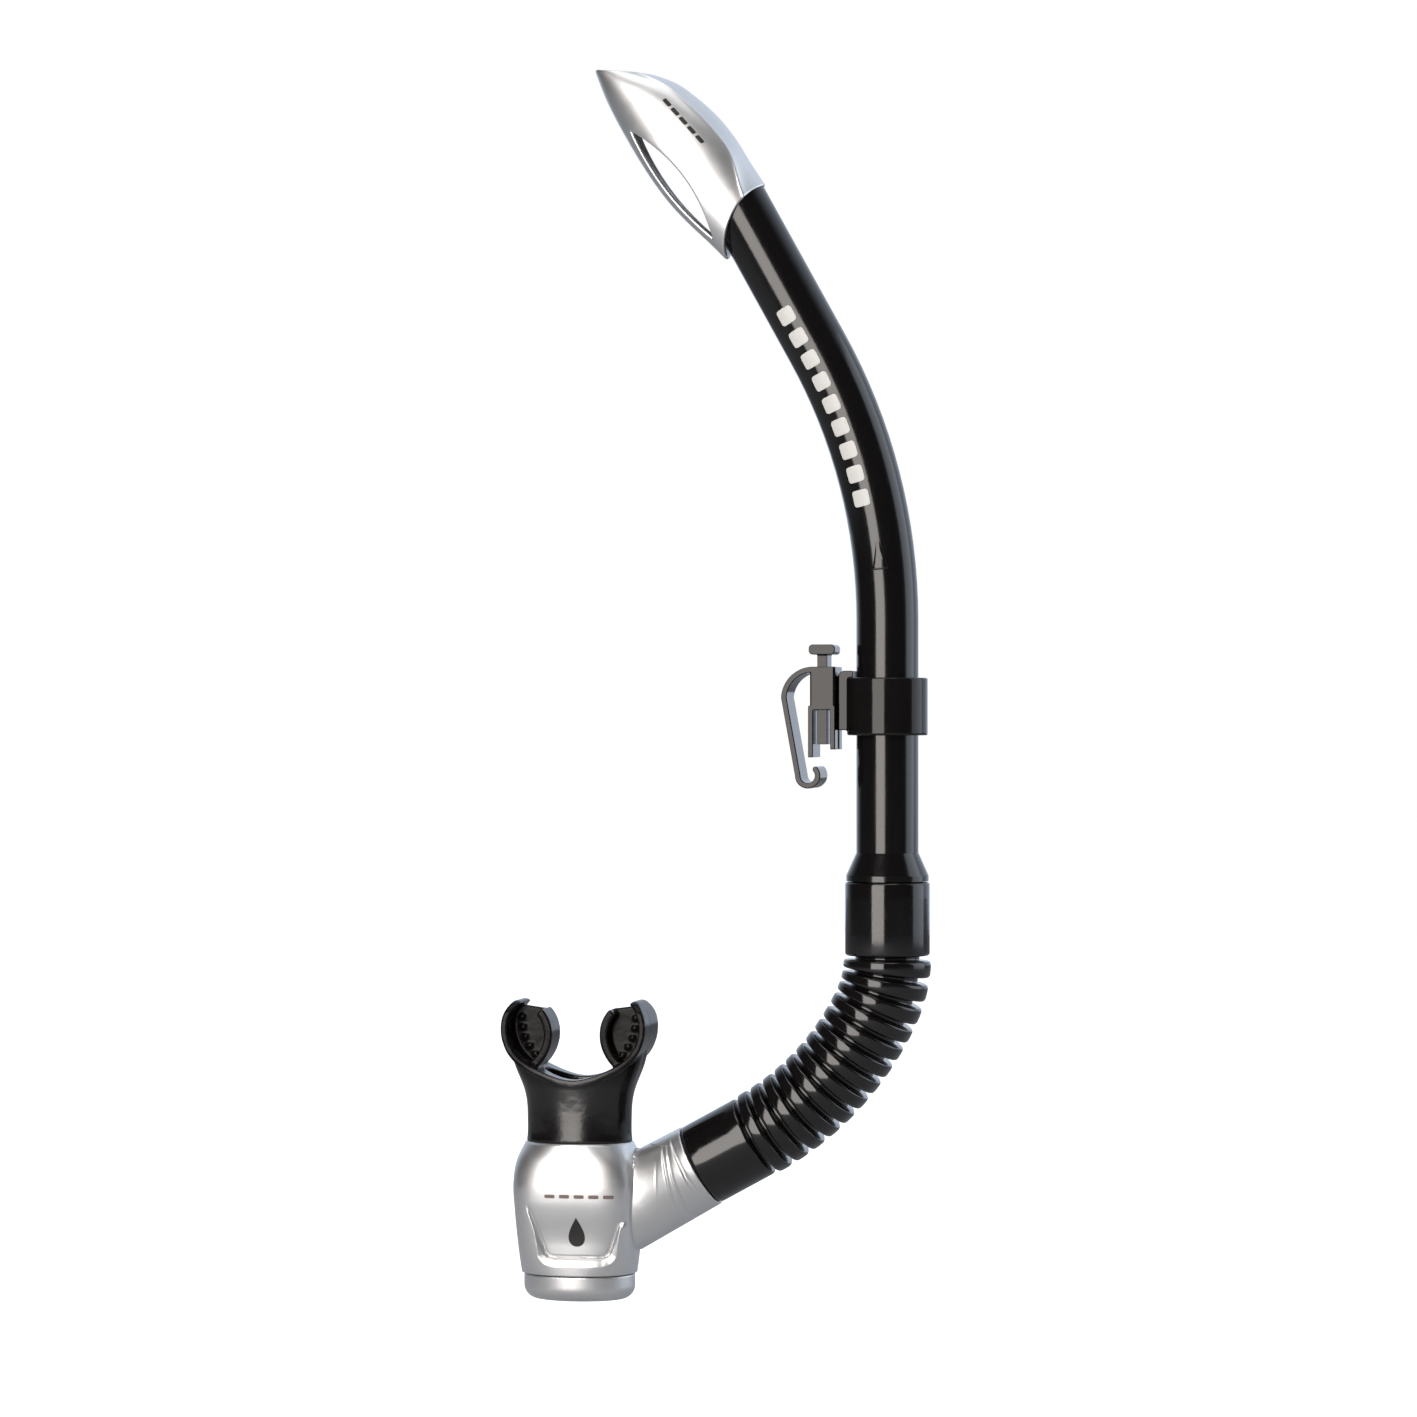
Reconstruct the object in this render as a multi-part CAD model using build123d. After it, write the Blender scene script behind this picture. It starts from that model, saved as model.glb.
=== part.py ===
from build123d import *
import os
from math import cos, hypot, radians, sin

# Snorkel tube, in millimetres, +Z up.
# The origin is on the axis of the barrel's straight stretch, half-way up the
# keeper's collar.  Every bend lies in the XZ plane.  The hood leans towards -X
# and the mouthpiece chamber hangs on the -X side.

# ---- driving dimensions -----------------------------------------------------

# Barrel: straight, then one long bend, then straight again under the hood.
BARREL_R = 11.0
BORE_R = 9.2
STRAIGHT_TOP_Z = 30.3
BEND_R = 200.0
BEND_ANGLE = 29.0
FLARE_START_Z = -52.0
FLARE_END_Z = -60.0
FLARE_R = 14.6
CUFF_SEAM_Z = -62.0
SPIGOT_R = 11.9
SPIGOT_LENGTH = 22.0

# Splash hood, measured along the upper run of the barrel (s) and across it (n).
SEAM_FRONT = (46.5, -11.5)
SEAM_BACK = (60.0, 11.5)
SEAM_ARC_R = 34.0
HOOD_WALL = 1.6
HOOD_NECK_R = 10.2
HOOD_NECK_TOP = 68.0
# Sections of the hood: s, front n, back n, half depth.
HOOD_SECTIONS = [
    (36.0, -11.2, 11.2, 11.2),
    (52.0, -15.8, 12.0, 12.2),
    (70.0, -20.9, 11.1, 12.8),
    (88.0, -23.3, 9.3, 12.8),
    (104.0, -23.8, 3.6, 11.6),
    (118.0, -22.9, -6.6, 8.6),
    (130.0, -21.4, -17.4, 3.0),
]
RIM_CORNER = (-84.8, 0.0, 226.0)
RIM_TILT = 5.0
SLOT_LOW_TIP = (51.7, -13.4)
SLOT_HIGH_TIP = (99.6, -20.3)
SLOT_OUTER_BULGE = 3.1
SLOT_INNER_BULGE = 5.4

# Flexible hose: upper cuff, a tight then an easier bend, lower cuff.
CUFF_R = 15.0
GROOVE_R = 11.6
UPPER_CUFF_LENGTH = 27.0
LOWER_CUFF_LENGTH = 23.0
TIGHT_BEND_R = 41.4
TIGHT_BEND_ANGLE = 25.0
EASY_BEND_R = 102.5
EASY_BEND_ANGLE = 36.0
RING_COUNT = 13
RING_SHARE = 0.64
RING_EDGE = 0.9
HOSE_GAP = 0.3

# Mouthpiece chamber, an oval shell on a vertical axis.
CHAMBER_X = -111.5
CHAMBER_DEPTH_RATIO = 0.78
CHAMBER_WALL = 2.0
CHAMBER_TOP_Z = -156.0
CHAMBER_BOTTOM_Z = -203.0
CHAMBER_PROFILE = [
    (19.4, CHAMBER_TOP_Z),
    (21.9, -162.0),
    (22.9, -170.0),
    (22.4, -180.0),
    (21.6, -191.0),
    (20.7, CHAMBER_BOTTOM_Z),
]
BRANCH_ROOT_R = 16.6
BRANCH_ROOT_HALF_DEPTH = 13.3
BRANCH_END_R = 15.4
BRANCH_BORE_R = 10.0
BRANCH_STOPS_SHORT = 3.0
# The front and back panels sink gently towards a ledge round their lower end.
PANEL_SHIFT = 2.2
PANEL_SINK = 1.2
PANEL_TOP_Z = -176.0
PANEL_BOTTOM_Z = -196.4
PANEL_OUTLINE = [
    (-8.6, PANEL_BOTTOM_Z),
    (-12.4, -192.4),
    (-14.4, -186.2),
    (-18.0, PANEL_TOP_Z),
    (18.0, PANEL_TOP_Z),
    (14.4, -186.2),
    (12.4, -192.4),
    (8.6, PANEL_BOTTOM_Z),
]

# Purge end of the chamber: spoked seat, rubber valve and vented cover.
SEAT_TOP_Z = -196.0
SEAT_THICKNESS = 2.0
SEAT_HALF_WIDTH = 18.4
SEAT_HALF_DEPTH = 13.9
SEAT_PORT_R = 10.0
SEAT_HUB_R = 3.6
SEAT_STEM_HOLE_R = 1.8
SPOKE_WIDTH = 1.8
VALVE_R = 11.4
VALVE_THICKNESS = 1.2
VALVE_LIFT = 2.0
VALVE_GAP = 0.3
STEM_R = 1.4
STEM_BULB_R = 2.6
COVER_SEAM_GAP = 0.3
COVER_HALF_WIDTH = 20.1
COVER_HALF_DEPTH = 15.6
COVER_LOWEST_Z = -212.4
COVER_EDGE_R = 5.0
COVER_WALL = 1.8
VENT_COUNT = 5
VENT_PITCH = 4.6
VENT_WIDTH = 2.2
VENT_LENGTH = 14.0

# Mouthpiece, on the chamber's axis and opening upwards.
NECK_HALF_WIDTH = 16.6
NECK_HALF_DEPTH = 11.4
NECK_TOP_Z = -143.0
# Sections of the neck: half width, half depth, squareness, z.
NECK_SECTIONS = [
    (19.3, 14.1, 2.0, CHAMBER_TOP_Z),
    (18.9, 13.5, 2.0, -148.0),
    (19.2, 13.3, 2.1, -141.5),
    (20.6, 13.4, 2.4, -135.5),
    (22.6, 13.5, 3.0, -130.0),
    (23.8, 13.5, 3.6, -125.0),
    (24.4, 13.5, 4.0, -122.0),
]
LIP_THICKNESS = 2.4
LIP_CURVE = [
    (-20.6, -105.4),
    (-25.1, -113.8),
    (-22.2, -124.2),
    (-11.5, -131.6),
    (0.0, -134.6),
    (11.5, -131.6),
    (22.2, -124.2),
    (25.1, -113.8),
    (20.6, -105.4),
]
LIP_HALF_HEIGHT = 13.5
LIP_END_HALF_HEIGHT = 12.0
LIP_END_CORNER_R = 7.0
LUG_CURVE = [(16.0, -129.0), (11.6, -123.6), (10.2, -118.6), (10.8, -113.6), (13.4, -109.4)]
LUG_THICKNESS = 3.0
LUG_HALF_HEIGHT = 7.5
WEB_CURVE = [(14.6, -129.6), (18.0, -121.0), (18.6, -107.6)]
WEB_WIDTH = 14.0
WEB_THICKNESS = 2.6
AIRWAY_HALF_WIDTH = 13.0
AIRWAY_HALF_DEPTH = 7.5
STUD_SIZE = 1.6
STUD_RAISE = 0.8
STUDS = [(16.0, -125.0), (18.0, -122.0), (19.6, -118.8), (20.5, -115.3), (20.8, -111.7)]

# Keeper: liner and collar on the barrel, hook on the collar's rail, plunger.
KEEPER_FIT = 0.05
KEEPER_GAP = 0.3
LINER_WALL = 1.25
LINER_HALF_HEIGHT = 9.4
COLLAR_R = 14.3
COLLAR_TOP_Z = 10.0
COLLAR_BOTTOM_Z = -10.4
LUG_X = -16.9
LUG_TOP_Z = 12.5
LUG_BOTTOM_Z = -8.6
LUG_WIDTH = 9.0
RAIL_NECK_WIDTH = 3.0
RAIL_NECK_LENGTH = 1.4
RAIL_HEAD_WIDTH = 6.0
RAIL_HEAD_LENGTH = 1.6
BLOCK_RIGHT_X = -17.5
BLOCK_LEFT_X = -26.6
BLOCK_TOP_Z = 13.9
BLOCK_BOTTOM_Z = -1.4
KEEPER_DEPTH = 16.5
LEG_THICKNESS = 1.8
LEFT_LEG_BOTTOM_Z = -18.2
RIGHT_LEG_BOTTOM_Z = -15.4
ARM_THICKNESS = 2.0
ARM_START = (-25.6, 12.9)
ARM_TOP_MIDDLE = (-32.0, 10.6)
ARM_SHOULDER = (-35.9, 3.0)
ARM_FOOT = (-30.9, -24.6)
ARM_LOWEST = (-27.9, -28.2)
ARM_TIP = (-24.6, -22.4)

PLUNGER_X = -22.6
PLUNGER_WIDTH = 3.6
PLUNGER_DEPTH = 10.0
PLUNGER_HEAD = (9.4, 12.5, 3.6)
PLUNGER_HEAD_Z = 18.2
PLUNGER_TONGUE_Z = -13.6

# ---- derived values ---------------------------------------------------------

BEND_END = Vector(
    -BEND_R * (1 - cos(radians(BEND_ANGLE))), 0, STRAIGHT_TOP_Z + BEND_R * sin(radians(BEND_ANGLE))
)
UPPER_DIRECTION = Vector(-sin(radians(BEND_ANGLE)), 0, cos(radians(BEND_ANGLE)))
# In this plane, x is s along the upper run and y is n across it.
UPPER_SIDE = Plane(origin=BEND_END, x_dir=UPPER_DIRECTION, z_dir=(0, 1, 0))

HOSE_TURN = TIGHT_BEND_ANGLE + EASY_BEND_ANGLE
HOSE_DIRECTION = Vector(-sin(radians(HOSE_TURN)), 0, -cos(radians(HOSE_TURN)))
HOSE_START_Z = CUFF_SEAM_Z - UPPER_CUFF_LENGTH
TIGHT_CENTRE = Vector(-TIGHT_BEND_R, 0, HOSE_START_Z)


def out_from(angle):
    """Unit vector from a hose bend's centre to its centreline, this far round."""
    return Vector(cos(radians(angle)), 0, -sin(radians(angle)))


EASY_CENTRE = TIGHT_CENTRE + out_from(TIGHT_BEND_ANGLE) * (TIGHT_BEND_R - EASY_BEND_R)
LOWER_CUFF_START = EASY_CENTRE + out_from(HOSE_TURN) * EASY_BEND_R
BRANCH_END = LOWER_CUFF_START + HOSE_DIRECTION * LOWER_CUFF_LENGTH
BRANCH_LENGTH = (CHAMBER_X - BRANCH_END.X) / HOSE_DIRECTION.X - BRANCH_STOPS_SHORT


# ---- shared shapes ----------------------------------------------------------


def upper_plane(s):
    """Plane across the upper run of the barrel, s beyond the bend."""
    across = Vector(cos(radians(BEND_ANGLE)), 0, sin(radians(BEND_ANGLE)))
    return Plane(origin=BEND_END + UPPER_DIRECTION * s, x_dir=across, z_dir=UPPER_DIRECTION)


def hose_plane(start):
    """Plane across the lower cuff's axis, facing down along the hose."""
    return Plane(origin=start, x_dir=(0, 1, 0), z_dir=HOSE_DIRECTION)


def rod(plane, radius, length):
    """Round rod from a plane, along its normal."""
    return extrude(plane * Circle(radius), length)


def upright(radius, low_z, high_z):
    """Round rod on the barrel's axis."""
    return rod(Plane.XY.offset(low_z), radius, high_z - low_z)


def oval(half_width, half_depth, low_z, high_z):
    """Upright oval bar on the chamber's axis."""
    plane = Plane(origin=(CHAMBER_X, 0, low_z))
    return extrude(plane * Ellipse(half_width, half_depth), high_z - low_z)


def cross_bar(face, depth):
    """A face in the XZ plane, made into a bar of this depth across Y."""
    return extrude(face, depth / 2, both=True)


# ---- barrel and hood --------------------------------------------------------


def barrel_rod(radius, low_z, top_s):
    """Round rod along the whole centreline of the barrel."""
    bend_axis = Axis((-BEND_R, 0, STRAIGHT_TOP_Z), (0, -1, 0))
    bend = revolve(Plane.XY.offset(STRAIGHT_TOP_Z) * Circle(radius), bend_axis, BEND_ANGLE)
    return upright(radius, low_z, STRAIGHT_TOP_Z) + bend + rod(upper_plane(0), radius, top_s)


def seam_roll(radius):
    """Cylinder across Y whose surface is the curved seam of barrel and hood."""
    half_s = (SEAM_BACK[0] - SEAM_FRONT[0]) / 2
    half_n = (SEAM_BACK[1] - SEAM_FRONT[1]) / 2
    half_chord = hypot(half_s, half_n)
    drop = (SEAM_ARC_R**2 - half_chord**2) ** 0.5 / half_chord
    middle_s = (SEAM_FRONT[0] + SEAM_BACK[0]) / 2 - drop * half_n
    middle_n = (SEAM_FRONT[1] + SEAM_BACK[1]) / 2 + drop * half_s
    return extrude(UPPER_SIDE * Pos(middle_s, middle_n) * Circle(radius), 30, both=True)


def make_barrel():
    shaft = barrel_rod(BARREL_R, CUFF_SEAM_Z, SEAM_FRONT[0] - 4)
    crown = rod(upper_plane(0), BARREL_R, SEAM_BACK[0] + 4) & seam_roll(SEAM_ARC_R)
    neck = rod(upper_plane(SEAM_FRONT[0] - 6), HOOD_NECK_R, HOOD_NECK_TOP - SEAM_FRONT[0] + 6)
    flare_height = FLARE_START_Z - FLARE_END_Z
    flare = Pos(0, 0, FLARE_END_Z + flare_height / 2) * Cone(FLARE_R, BARREL_R, flare_height)
    foot = upright(FLARE_R, CUFF_SEAM_Z, FLARE_END_Z)
    spigot = upright(SPIGOT_R, CUFF_SEAM_Z - SPIGOT_LENGTH, CUFF_SEAM_Z)
    bore = barrel_rod(BORE_R, CUFF_SEAM_Z - SPIGOT_LENGTH, HOOD_NECK_TOP)
    return shaft + crown + neck + flare + foot + spigot - bore


def hood_form(inset):
    """Solid shape of the hood, with every section drawn in by the inset."""
    sections = []
    for s, front, back, half_depth in HOOD_SECTIONS:
        outline = Ellipse((back - front) / 2 - inset, half_depth - inset)
        sections.append(upper_plane(s) * Pos((front + back) / 2, 0) * outline)
    return loft(sections)


def drain_slot():
    """Long almond cut that runs through both sides of the hood."""
    along = Vector(*SLOT_HIGH_TIP) - Vector(*SLOT_LOW_TIP)
    across = Vector(-along.Y, along.X).normalized()
    middle = (Vector(*SLOT_HIGH_TIP) + Vector(*SLOT_LOW_TIP)) / 2
    outer = ThreePointArc(SLOT_LOW_TIP, middle - across * SLOT_OUTER_BULGE, SLOT_HIGH_TIP)
    inner = ThreePointArc(SLOT_LOW_TIP, middle + across * SLOT_INNER_BULGE, SLOT_HIGH_TIP)
    return extrude(UPPER_SIDE * make_face(outer + inner), 30, both=True)


def make_splash_hood():
    tilt = radians(RIM_TILT)
    rim_plane = Plane(origin=RIM_CORNER, x_dir=(-cos(tilt), 0, sin(tilt)), z_dir=(sin(tilt), 0, cos(tilt)))
    above_rim = extrude(rim_plane * Rectangle(120, 80), 60)
    sleeve = rod(upper_plane(SEAM_FRONT[0]), HOOD_NECK_R + 1.2, HOOD_NECK_TOP - SEAM_FRONT[0])
    neck_room = rod(upper_plane(0), HOOD_NECK_R + 0.1, HOOD_NECK_TOP)
    shell = hood_form(0) - hood_form(HOOD_WALL) - drain_slot()
    return shell + (sleeve & hood_form(0)) - neck_room - seam_roll(SEAM_ARC_R + 0.2) - above_rim


# ---- flexible hose ----------------------------------------------------------


def hose_arc(centre, bend_r, start, sweep, radius):
    """Round bar round part of one bend, start degrees in, sweep degrees long."""
    outward = out_from(start)
    along = Vector(-sin(radians(start)), 0, -cos(radians(start)))
    plane = Plane(origin=centre + outward * bend_r, x_dir=(0, 1, 0), z_dir=along)
    return revolve(plane * Circle(radius), Axis(centre, (0, 1, 0)), sweep)


def hose_ring(distance, width):
    """One raised ring of the hose, its middle this far along the centreline."""
    tight_length = radians(TIGHT_BEND_ANGLE) * TIGHT_BEND_R
    if distance < tight_length:
        centre, bend_r, angle = TIGHT_CENTRE, TIGHT_BEND_R, 0.0
    else:
        centre, bend_r, angle = EASY_CENTRE, EASY_BEND_R, TIGHT_BEND_ANGLE
        distance -= tight_length
    to_degrees = 1 / radians(1) / bend_r
    start = angle + (distance - width / 2) * to_degrees
    ring = hose_arc(centre, bend_r, start, width * to_degrees, CUFF_R)
    return fillet(ring.edges().filter_by(GeomType.CIRCLE), RING_EDGE)


def make_flex_hose():
    tight_length = radians(TIGHT_BEND_ANGLE) * TIGHT_BEND_R
    easy_length = radians(EASY_BEND_ANGLE) * EASY_BEND_R
    pitch = (tight_length + easy_length) / RING_COUNT
    upper_cuff = upright(CUFF_R, HOSE_START_Z, CUFF_SEAM_Z - HOSE_GAP)
    upper_cuff = fillet(upper_cuff.edges(), RING_EDGE)
    lower_cuff = rod(hose_plane(LOWER_CUFF_START), CUFF_R, LOWER_CUFF_LENGTH - HOSE_GAP)
    lower_cuff = fillet(lower_cuff.edges(), RING_EDGE)
    hose = upper_cuff + lower_cuff
    hose += hose_arc(TIGHT_CENTRE, TIGHT_BEND_R, 0, TIGHT_BEND_ANGLE, GROOVE_R)
    hose += hose_arc(EASY_CENTRE, EASY_BEND_R, TIGHT_BEND_ANGLE, EASY_BEND_ANGLE, GROOVE_R)
    for number in range(RING_COUNT):
        hose += hose_ring((number + 0.5) * pitch, pitch * RING_SHARE)
    hose -= hose_arc(TIGHT_CENTRE, TIGHT_BEND_R, 0, TIGHT_BEND_ANGLE, BORE_R)
    hose -= hose_arc(EASY_CENTRE, EASY_BEND_R, TIGHT_BEND_ANGLE, EASY_BEND_ANGLE, BORE_R)
    socket_r = SPIGOT_R + HOSE_GAP
    socket_length = SPIGOT_LENGTH + HOSE_GAP
    hose -= upright(BORE_R, HOSE_START_Z, CUFF_SEAM_Z)
    hose -= upright(socket_r, CUFF_SEAM_Z - socket_length, CUFF_SEAM_Z)
    hose -= rod(hose_plane(LOWER_CUFF_START), BORE_R, LOWER_CUFF_LENGTH)
    socket_start = BRANCH_END - HOSE_DIRECTION * socket_length
    return hose - rod(hose_plane(socket_start), socket_r, socket_length)


# ---- mouthpiece chamber -----------------------------------------------------


def chamber_form(grow, sink=0.0):
    """Smooth solid through the chamber's oval sections, each grown sideways.

    The sink draws the sections in further and further below the panels' top.
    """
    sections = []
    for half_width, z in CHAMBER_PROFILE:
        share = (PANEL_TOP_Z - z) / (PANEL_TOP_Z - PANEL_BOTTOM_Z)
        side = grow - sink * min(max(share, 0), 1)
        plane = Plane(origin=(CHAMBER_X, 0, z))
        sections.append(plane * Ellipse(half_width + side, half_width * CHAMBER_DEPTH_RATIO + side))
    return loft(sections)


def chamber_shape():
    """Outside of the chamber without its branch, both panels pressed in."""
    outline = make_face(Polyline(PANEL_OUTLINE, close=True))
    prism = cross_bar(Pos(CHAMBER_X + PANEL_SHIFT, 0, 0) * Plane.XZ * outline, 80)
    return chamber_form(0) - (prism - chamber_form(0, PANEL_SINK))


def make_chamber_body():
    branch_plane = hose_plane(BRANCH_END)
    branch_root = branch_plane.offset(BRANCH_LENGTH) * Ellipse(BRANCH_ROOT_HALF_DEPTH, BRANCH_ROOT_R)
    branch = loft([branch_plane * Ellipse(BRANCH_END_R, BRANCH_END_R - 0.01), branch_root])
    spigot_plane = branch_plane.offset(-SPIGOT_LENGTH)
    shell = chamber_shape() + branch
    shell += rod(spigot_plane, SPIGOT_R, SPIGOT_LENGTH)
    shell += oval(NECK_HALF_WIDTH, NECK_HALF_DEPTH, CHAMBER_TOP_Z - 1, NECK_TOP_Z)
    cavity = chamber_form(-CHAMBER_WALL)
    cavity -= oval(40, 40, CHAMBER_TOP_Z - CHAMBER_WALL, CHAMBER_TOP_Z + 1)
    shell -= cavity
    shell -= rod(spigot_plane, BRANCH_BORE_R, SPIGOT_LENGTH + BRANCH_LENGTH)
    airway = oval(
        NECK_HALF_WIDTH - CHAMBER_WALL,
        NECK_HALF_DEPTH - CHAMBER_WALL,
        CHAMBER_TOP_Z - 2 * CHAMBER_WALL,
        NECK_TOP_Z,
    )
    return shell - airway


def make_valve_seat():
    seat_bottom = SEAT_TOP_Z - SEAT_THICKNESS
    plate = oval(SEAT_HALF_WIDTH, SEAT_HALF_DEPTH, seat_bottom, SEAT_TOP_Z)
    ring = plate - oval(SEAT_PORT_R, SEAT_PORT_R, seat_bottom, SEAT_TOP_Z)
    spoke = Pos(CHAMBER_X, 0, SEAT_TOP_Z - SEAT_THICKNESS / 2)
    bars = spoke * Box(2 * SEAT_PORT_R + 2, SPOKE_WIDTH, SEAT_THICKNESS)
    bars += spoke * Box(SPOKE_WIDTH, 2 * SEAT_PORT_R + 2, SEAT_THICKNESS)
    hub = oval(SEAT_HUB_R, SEAT_HUB_R, seat_bottom, SEAT_TOP_Z)
    hole = oval(SEAT_STEM_HOLE_R, SEAT_STEM_HOLE_R, seat_bottom, SEAT_TOP_Z)
    return ring + bars + hub - hole


def make_purge_valve():
    disc_top = SEAT_TOP_Z - SEAT_THICKNESS - VALVE_GAP
    disc = oval(VALVE_R, VALVE_R, disc_top - VALVE_THICKNESS, disc_top)
    bulb_low = SEAT_TOP_Z + VALVE_LIFT + VALVE_GAP
    stem = oval(STEM_R, STEM_R, disc_top - VALVE_THICKNESS, bulb_low)
    bulb = Pos(CHAMBER_X, 0, bulb_low + 1.5) * Cone(STEM_BULB_R, STEM_R, 3.0)
    return disc + stem + bulb


def cover_form(inset, top_z):
    """Oval cup with a rounded lower edge, drawn in by the inset."""
    low_z = COVER_LOWEST_Z + inset
    cup = oval(COVER_HALF_WIDTH - inset, COVER_HALF_DEPTH - inset, low_z, top_z)
    return fillet(cup.edges().sort_by(Axis.Z)[:1], COVER_EDGE_R - inset)


def make_purge_cover():
    top_z = CHAMBER_BOTTOM_Z - COVER_SEAM_GAP
    cover = cover_form(0, top_z) - cover_form(COVER_WALL, top_z + 1)
    for number in range(VENT_COUNT):
        offset = (number - (VENT_COUNT - 1) / 2) * VENT_PITCH
        cover -= Pos(CHAMBER_X + offset, 0, COVER_LOWEST_Z) * Box(VENT_WIDTH, VENT_LENGTH, 4 * COVER_WALL)
    return cover


# ---- mouthpiece -------------------------------------------------------------


def at_mouth(face):
    """A face drawn in local (x, z) about the chamber's axis, set in place."""
    return Pos(CHAMBER_X, 0, 0) * Plane.XZ * face


def mirrored_x(shape):
    """The same shape on the other side of the chamber's axis."""
    return mirror(shape, Plane.YZ.offset(CHAMBER_X))


def squared_oval(half_width, half_depth, squareness, z):
    """Closed outline across the neck; squareness 2 is an ellipse, more is boxier."""
    points = []
    for step in range(24):
        angle = radians(step * 15)
        x = half_width * abs(cos(angle)) ** (2 / squareness)
        y = half_depth * abs(sin(angle)) ** (2 / squareness)
        points.append((x if cos(angle) > 0 else -x, y if sin(angle) > 0 else -y))
    return Plane(origin=(CHAMBER_X, 0, z)) * make_face(Spline(points, periodic=True))


def lip_flange():
    """Curved flange that seals inside the lips, with rounded ends."""
    bar = cross_bar(at_mouth(trace(Spline(LIP_CURVE), LIP_THICKNESS)), 2 * LIP_HALF_HEIGHT)
    top_z = LIP_CURVE[0][1]
    outline = [
        (-LIP_HALF_HEIGHT, -142.0),
        (-LIP_HALF_HEIGHT, -124.0),
        (-LIP_END_HALF_HEIGHT, top_z),
        (LIP_END_HALF_HEIGHT, top_z),
        (LIP_HALF_HEIGHT, -124.0),
        (LIP_HALF_HEIGHT, -142.0),
    ]
    face = make_face(Polyline(outline, close=True))
    face = fillet(face.vertices().sort_by(Axis.Y)[-2:], LIP_END_CORNER_R)
    side = Plane(origin=(CHAMBER_X, 0, 0), x_dir=(0, 1, 0), z_dir=(1, 0, 0))
    return bar & extrude(side * face, 40, both=True)


def mouth_side(curve_points, corners=()):
    """Everything on the mouth's side of a curve, as a deep bar."""
    curve = Spline(curve_points)
    back = Polyline([curve_points[-1], *corners, curve_points[0]])
    return cross_bar(at_mouth(make_face(curve + back)), 60)


def bite_wing():
    """Bite web with its studs and the lug that the teeth hold, on the +X side."""
    inside_lug = mouth_side(LUG_CURVE, [(0, -100), (0, LUG_CURVE[0][1])])
    web = cross_bar(at_mouth(trace(Spline(WEB_CURVE), WEB_WIDTH)), WEB_THICKNESS)
    web = (web & mouth_side(LIP_CURVE)) - inside_lug
    wing = web + cross_bar(at_mouth(trace(Spline(LUG_CURVE), LUG_THICKNESS)), 2 * LUG_HALF_HEIGHT)
    for x, z in STUDS:
        stud = Box(STUD_SIZE, WEB_THICKNESS + 2 * STUD_RAISE, STUD_SIZE)
        wing += Pos(CHAMBER_X + x, 0, z) * stud
    return wing


def make_mouthpiece():
    neck = loft([squared_oval(*section) for section in NECK_SECTIONS]) - mouth_side(LIP_CURVE)
    wing = bite_wing()
    body = neck + lip_flange() + wing + mirrored_x(wing)
    body -= oval(
        NECK_HALF_WIDTH + HOSE_GAP, NECK_HALF_DEPTH + HOSE_GAP, CHAMBER_TOP_Z, NECK_TOP_Z + HOSE_GAP
    )
    return body - oval(AIRWAY_HALF_WIDTH, AIRWAY_HALF_DEPTH, CHAMBER_TOP_Z, -130.0)


# ---- keeper -----------------------------------------------------------------


def make_keeper_liner():
    inner_r = BARREL_R + KEEPER_FIT
    low, high = -LINER_HALF_HEIGHT, LINER_HALF_HEIGHT
    return upright(inner_r + LINER_WALL, low, high) - upright(inner_r, low, high)


def block_between(left_x, right_x, depth, low_z, high_z):
    """Box between two x and two z values, centred on the XZ plane."""
    centre = Pos((left_x + right_x) / 2, 0, (low_z + high_z) / 2)
    return centre * Box(right_x - left_x, depth, high_z - low_z)


def rail(clearance, low_z, high_z):
    """T-shaped rail on the collar's lug, grown by a clearance."""
    neck_end = LUG_X - RAIL_NECK_LENGTH
    neck = block_between(neck_end, LUG_X, RAIL_NECK_WIDTH + 2 * clearance, low_z, high_z)
    head = block_between(
        neck_end - RAIL_HEAD_LENGTH - clearance,
        neck_end + clearance,
        RAIL_HEAD_WIDTH + 2 * clearance,
        low_z,
        high_z,
    )
    return neck + head


def make_keeper_collar():
    bore_r = BARREL_R + 2 * KEEPER_FIT + LINER_WALL
    ring = upright(COLLAR_R, COLLAR_BOTTOM_Z, COLLAR_TOP_Z)
    ring = fillet(ring.edges(), 0.6)
    lug = block_between(LUG_X, -10.0, LUG_WIDTH, LUG_BOTTOM_Z, LUG_TOP_Z)
    lug = fillet(lug.edges().filter_by(Axis.Y).sort_by(Axis.Z)[-2:], 2.0)
    collar = ring + lug + rail(0, LUG_BOTTOM_Z, LUG_TOP_Z - 2)
    return collar - upright(bore_r, COLLAR_BOTTOM_Z, LUG_TOP_Z)


def hook_arm():
    """Long curved arm of the hook, from the block's top round to its open tip."""
    shoulder = ThreePointArc(ARM_START, ARM_TOP_MIDDLE, ARM_SHOULDER)
    shank = Line(ARM_SHOULDER, ARM_FOOT)
    turn = ThreePointArc(ARM_FOOT, ARM_LOWEST, ARM_TIP)
    arm = cross_bar(Plane.XZ * trace(shoulder + shank + turn, ARM_THICKNESS), KEEPER_DEPTH)
    tip = extrude(Plane.XZ * Pos(*ARM_TIP) * Circle(ARM_THICKNESS / 2), KEEPER_DEPTH / 2, both=True)
    return arm + tip


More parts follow.
